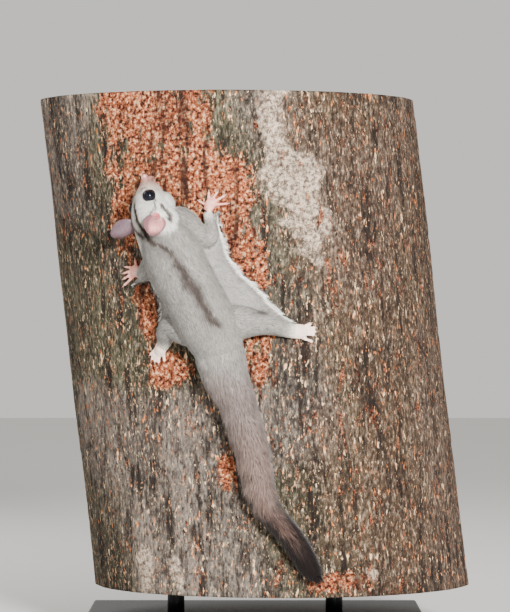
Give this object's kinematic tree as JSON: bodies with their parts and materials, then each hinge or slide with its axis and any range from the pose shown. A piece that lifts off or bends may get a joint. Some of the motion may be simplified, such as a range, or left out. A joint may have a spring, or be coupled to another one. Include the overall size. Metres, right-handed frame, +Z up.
{
  "type": "sugar glider model",
  "caption": "Life-size still model of a sugar glider clinging head up to a short cut length of leaning tree trunk, on a flat display stand with short rods.",
  "frame": {"origin": "on the floor under the middle of the stand's base", "axes": "+Z up; +Y points away from the viewer, so the glider clings to the -Y side of the trunk; +X to the viewer's right"},
  "size_m": [0.4061, 0.4013, 0.5],
  "materials": {
    "fur": "short dense grey fur",
    "tail_fur": "long soft fur in locks, grey to brown and near black at the end",
    "skin": "thin bare pink skin",
    "eye": "wet glossy black",
    "bark": "rough fissured bark, sawn ends",
    "stand_paint": "satin black paint"
  },
  "bodies": {
    "root": {"head": "fur", "neck": "fur", "torso": "fur", "tail": "tail_fur", "eye_right": "eye", "eye_left": "eye", "ear_right": "skin", "ear_left": "skin", "foreleg_right": "fur", "foreleg_left": "fur", "hindleg_right": "fur", "hindleg_left": "fur", "hand_right": "skin", "hand_left": "skin", "foot_right": "skin", "foot_left": "skin", "membrane_right": "fur", "membrane_left": "fur", "perch_trunk": "bark", "stand_base": "stand_paint", "stand_rod_left": "stand_paint", "stand_rod_right": "stand_paint"}
  },
  "joints": []
}
